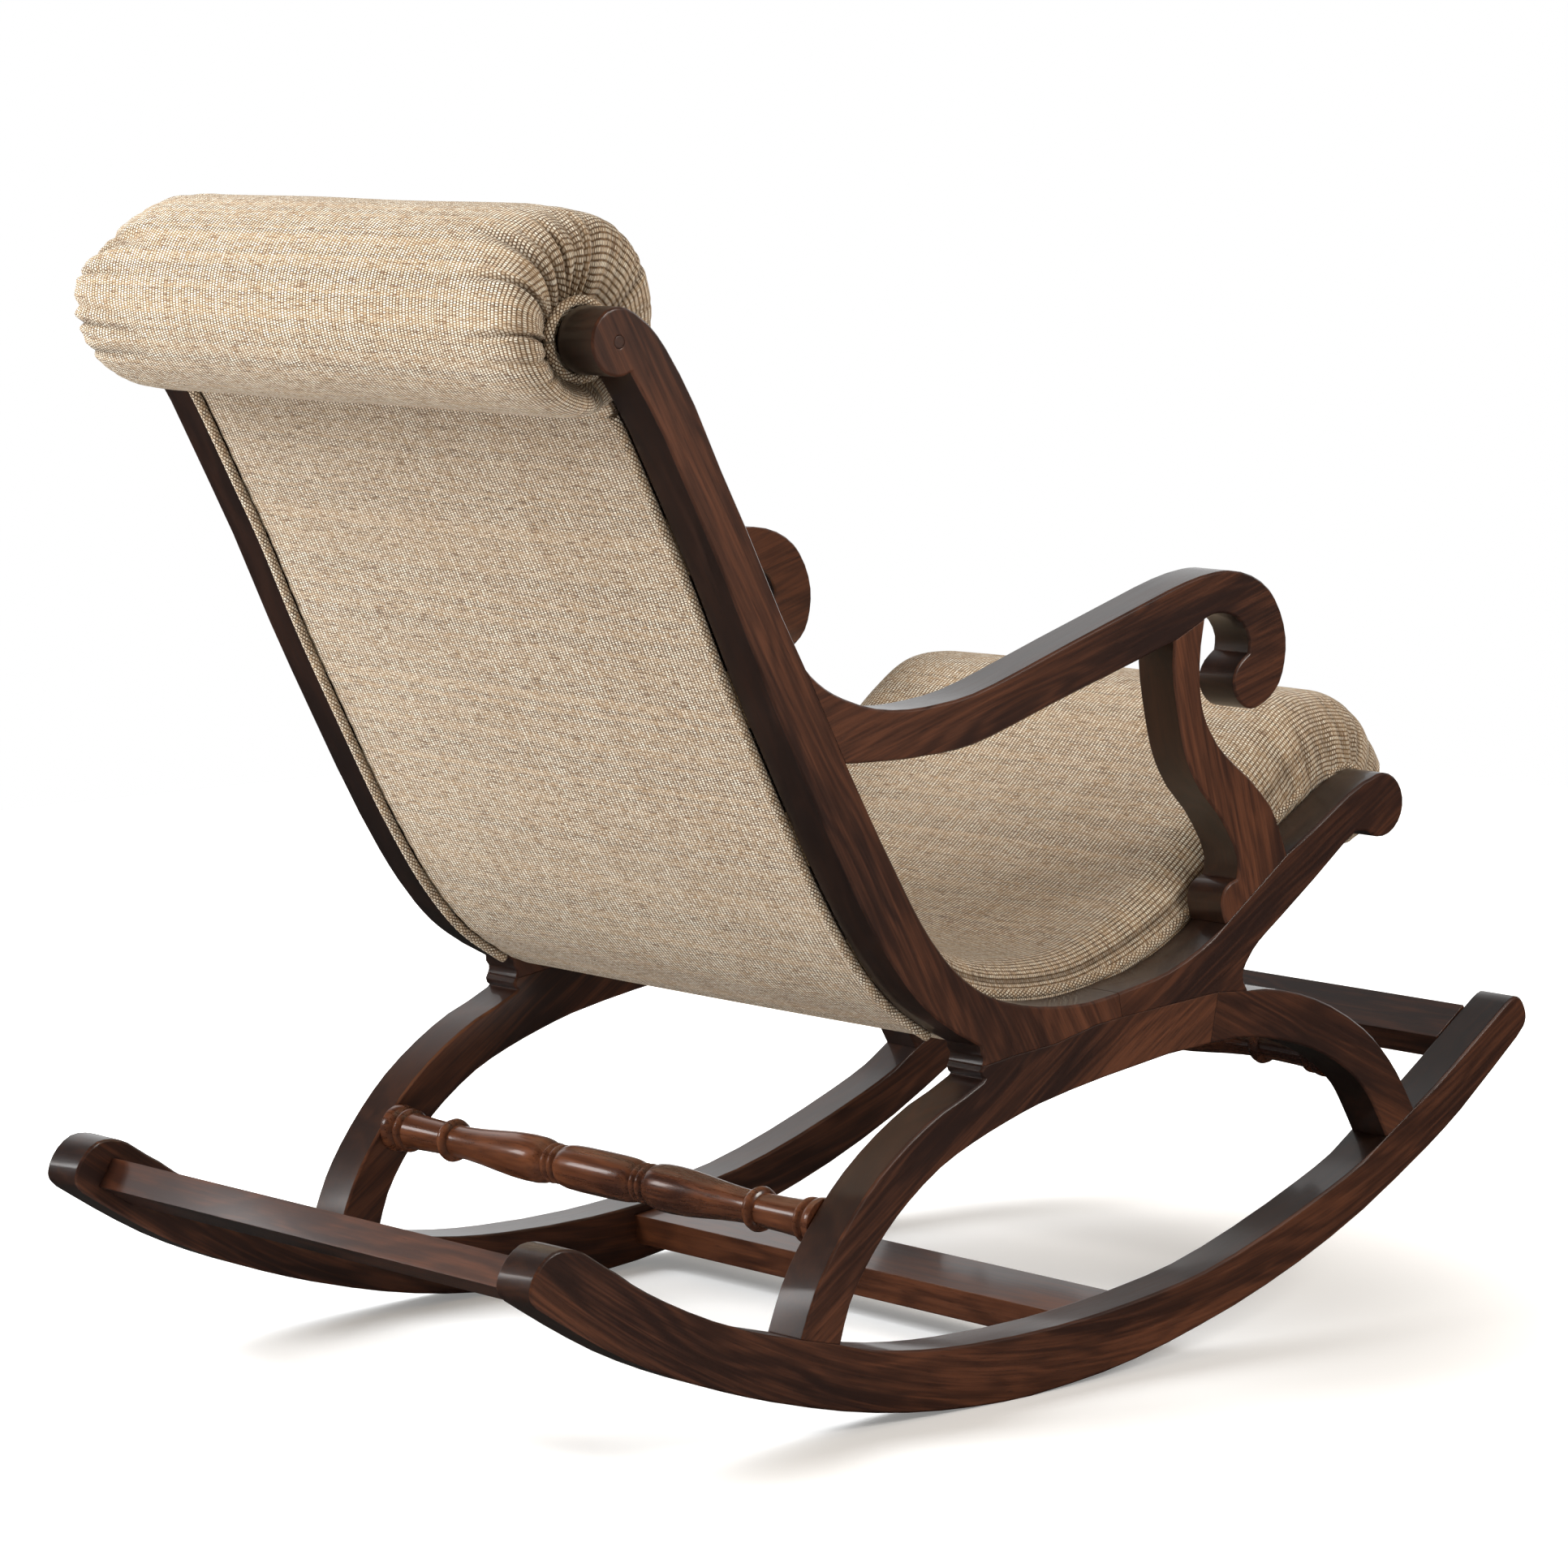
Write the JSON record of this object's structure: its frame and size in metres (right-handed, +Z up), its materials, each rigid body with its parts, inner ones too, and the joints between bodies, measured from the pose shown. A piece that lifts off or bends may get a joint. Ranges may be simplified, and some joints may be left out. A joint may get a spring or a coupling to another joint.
{
  "type": "rocking chair",
  "caption": "Wooden rocking chair with scrolled arms, curved rockers, turned stretchers and an upholstered sling seat with a head bolster and a knee roll.",
  "frame": {"origin": "middle of the chair's bounding box, on the floor under the rockers", "axes": "+Z up, the sitter faces -Y, so the back is towards +Y; X runs across the chair, and the sitter's right is -X"},
  "size_m": [0.62, 1.1148, 0.954],
  "materials": {
    "stained_wood": "dark red-brown stained hardwood under satin-gloss lacquer",
    "inner_wood": "bare pale hardwood, hidden inside",
    "upholstery_fabric": "oatmeal and beige tweed weave, matt",
    "webbing": "woven jute webbing, hidden inside",
    "screw_steel": "plain steel wood screw, hidden under a plug"
  },
  "bodies": {
    "root": {"back_cover": "upholstery_fabric", "back_pad": "upholstery_fabric", "front_rocker_board": "stained_wood", "front_stretcher": "stained_wood", "head_bolster": "upholstery_fabric", "head_rail": "stained_wood", "hub_cross_rail": "inner_wood", "knee_rail": "stained_wood", "knee_roll": "upholstery_fabric", "left_arm": "stained_wood", "left_arm_dowel": "inner_wood", "left_arm_support": "stained_wood", "left_arm_support_dowel": "inner_wood", "left_back_piping": "upholstery_fabric", "left_back_stile": "stained_wood", "left_front_leg": "stained_wood", "left_front_leg_dowel": "inner_wood", "left_head_piping_ring": "upholstery_fabric", "left_head_plug": "stained_wood", "left_head_screw": "screw_steel", "left_hub_dowel": "inner_wood", "left_knee_piping_ring": "upholstery_fabric", "left_rear_leg": "stained_wood", "left_rear_leg_dowel": "inner_wood", "left_rocker": "stained_wood", "left_seat_piping": "upholstery_fabric", "left_seat_rail": "stained_wood", "middle_rocker_board": "stained_wood", "rear_rocker_board": "stained_wood", "rear_stretcher": "stained_wood", "right_arm": "stained_wood", "right_arm_dowel": "inner_wood", "right_arm_support": "stained_wood", "right_arm_support_dowel": "inner_wood", "right_back_piping": "upholstery_fabric", "right_back_stile": "stained_wood", "right_front_leg": "stained_wood", "right_front_leg_dowel": "inner_wood", "right_head_piping_ring": "upholstery_fabric", "right_head_plug": "stained_wood", "right_head_screw": "screw_steel", "right_hub_dowel": "inner_wood", "right_knee_piping_ring": "upholstery_fabric", "right_rear_leg": "stained_wood", "right_rear_leg_dowel": "inner_wood", "right_rocker": "stained_wood", "right_seat_piping": "upholstery_fabric", "right_seat_rail": "stained_wood", "seat_cross_rail": "inner_wood", "seat_pad": "upholstery_fabric", "underside_cover": "upholstery_fabric", "webbing_strap_1": "webbing", "webbing_strap_2": "webbing", "webbing_strap_3": "webbing", "webbing_strap_4": "webbing", "webbing_strap_5": "webbing", "webbing_strap_6": "webbing"}
  },
  "joints": []
}
